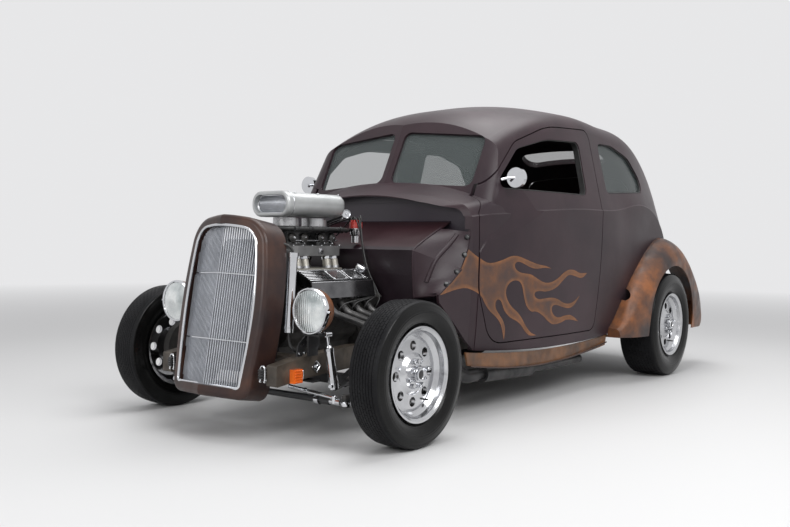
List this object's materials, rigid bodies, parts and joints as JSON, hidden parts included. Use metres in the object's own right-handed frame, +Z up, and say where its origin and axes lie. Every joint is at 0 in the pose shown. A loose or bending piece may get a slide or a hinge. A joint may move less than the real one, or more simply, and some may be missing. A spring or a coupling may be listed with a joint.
{
  "type": "hot rod car",
  "caption": "Two-door slant-back sedan hot rod with an open V engine, tall grille shell, flame-painted body, rear fenders only, opening doors and trunk lid, steering and rolling wheels.",
  "frame": {"origin": "on the floor, under the middle of the car (bottom centre of its bounding box)", "axes": "+X forward along the car, +Z up, +Y to the left-hand side"},
  "size_m": [4.1543, 1.7776, 1.7162],
  "materials": {
    "amber_lens": "gloss",
    "black_paint": "satin",
    "black_plastic": "matte",
    "body_paint": "satin",
    "cast_aluminium": "matte",
    "cast_iron": "matte",
    "chrome": "gloss",
    "clear_lens": "gloss",
    "dark_fabric": "matte",
    "dark_pipe": "matte",
    "firewall_paint": "satin",
    "frame_steel": "matte",
    "glass": "gloss",
    "polished_aluminium": "gloss",
    "red_lens": "gloss",
    "red_plastic": "gloss",
    "rusty_steel": "matte",
    "shell_steel": "satin",
    "tyre": "matte"
  },
  "bodies": {
    "chassis": {"body_shell": "body_paint", "fender_mounts": "body_paint", "firewall": "firewall_paint", "floor_pan": "black_paint", "quarter_glass": "glass", "rear_glass": "glass", "windshield_glass": "glass", "sill_strips": "rusty_steel", "rear_fenders": "rusty_steel", "grille_shell": "shell_steel", "grille_insert": "chrome", "radiator": "black_paint", "overflow_tube": "chrome", "frame": "frame_steel", "front_axle": "black_paint", "front_spring": "black_paint", "front_dampers": "chrome", "lamp_brackets": "black_paint", "headlight_buckets": "shell_steel", "headlight_lenses": "clear_lens", "turn_signals": "amber_lens", "rear_axle": "black_paint", "engine_block": "cast_iron", "valve_covers": "black_paint", "intake_manifold": "polished_aluminium", "carburettors": "polished_aluminium", "scoop": "cast_aluminium", "pulleys": "polished_aluminium", "distributor": "red_plastic", "headers": "dark_pipe", "side_pipes": "dark_pipe", "gearbox": "cast_iron", "fuel_tank": "black_paint", "tail_lamps": "red_lens", "front_seats": "dark_fabric", "rear_seat": "dark_fabric", "dashboard": "body_paint", "steering_column": "black_paint", "inside_mirror": "black_plastic"},
    "door_left": {"door_left": "body_paint", "mirror_left": "chrome"},
    "door_right": {"door_right": "body_paint", "mirror_right": "chrome"},
    "trunk_lid": {"trunk_lid": "body_paint"},
    "knuckle_left": {"knuckle_left": "cast_iron"},
    "knuckle_right": {"knuckle_right": "cast_iron"},
    "tie_rod": {"tie_rod": "black_paint"},
    "steering_wheel": {"steering_wheel": "black_plastic"},
    "front_left_wheel": {"wheel_front_left": "polished_aluminium", "tyre_front_left": "tyre"},
    "front_right_wheel": {"wheel_front_right": "polished_aluminium", "tyre_front_right": "tyre"},
    "rear_left_wheel": {"wheel_rear_left": "polished_aluminium", "tyre_rear_left": "tyre"},
    "rear_right_wheel": {"wheel_rear_right": "polished_aluminium", "tyre_rear_right": "tyre"}
  },
  "joints": [
    {"name": "steer_left", "type": "hinge", "parent": "chassis", "child": "knuckle_left", "pos_m": [1.58, 0.56, 0.3175], "axis": [0, 0, 1], "range_deg": [-30, 30]},
    {"name": "steer_right", "type": "hinge", "parent": "chassis", "child": "knuckle_right", "pos_m": [1.58, -0.56, 0.3175], "axis": [0, 0, 1], "range_deg": [-30, 30]},
    {"name": "tie_rod_swing", "type": "hinge", "parent": "knuckle_left", "child": "tie_rod", "pos_m": [1.73, 0.56, 0.182], "axis": [0, 0, 1], "range_deg": [-30, 30]},
    {"name": "steering_wheel_turn", "type": "hinge", "parent": "chassis", "child": "steering_wheel", "pos_m": [0.29, 0.34, 0.96], "axis": [-0.8875, 0, 0.4608], "range_deg": [-420, 420]},
    {"name": "front_left_wheel_spin", "type": "hinge", "parent": "knuckle_left", "child": "front_left_wheel", "pos_m": [1.58, 0.782, 0.3175], "axis": [0, 1, 0], "continuous": true},
    {"name": "front_right_wheel_spin", "type": "hinge", "parent": "knuckle_right", "child": "front_right_wheel", "pos_m": [1.58, -0.782, 0.3175], "axis": [0, 1, 0], "continuous": true},
    {"name": "rear_left_wheel_spin", "type": "hinge", "parent": "chassis", "child": "rear_left_wheel", "pos_m": [-1.265, 0.762, 0.3425], "axis": [0, 1, 0], "continuous": true},
    {"name": "rear_right_wheel_spin", "type": "hinge", "parent": "chassis", "child": "rear_right_wheel", "pos_m": [-1.265, -0.762, 0.3425], "axis": [0, 1, 0], "continuous": true},
    {"name": "door_left_swing", "type": "hinge", "parent": "chassis", "child": "door_left", "pos_m": [0.835, 0.676, 0.9], "axis": [0, 0, -1], "range_deg": [0, 65]},
    {"name": "door_right_swing", "type": "hinge", "parent": "chassis", "child": "door_right", "pos_m": [0.835, -0.676, 0.9], "axis": [0, 0, 1], "range_deg": [0, 65]},
    {"name": "trunk_lid_swing", "type": "hinge", "parent": "chassis", "child": "trunk_lid", "pos_m": [-1.6225, 0, 1.398], "axis": [0, 1, 0], "range_deg": [0, 60]}
  ],
  "couplings": [
    {"joint": "steer_right", "follows": "steer_left", "ratio": 1},
    {"joint": "tie_rod_swing", "follows": "steer_left", "ratio": -1},
    {"joint": "steering_wheel_turn", "follows": "steer_left", "ratio": 14}
  ]
}
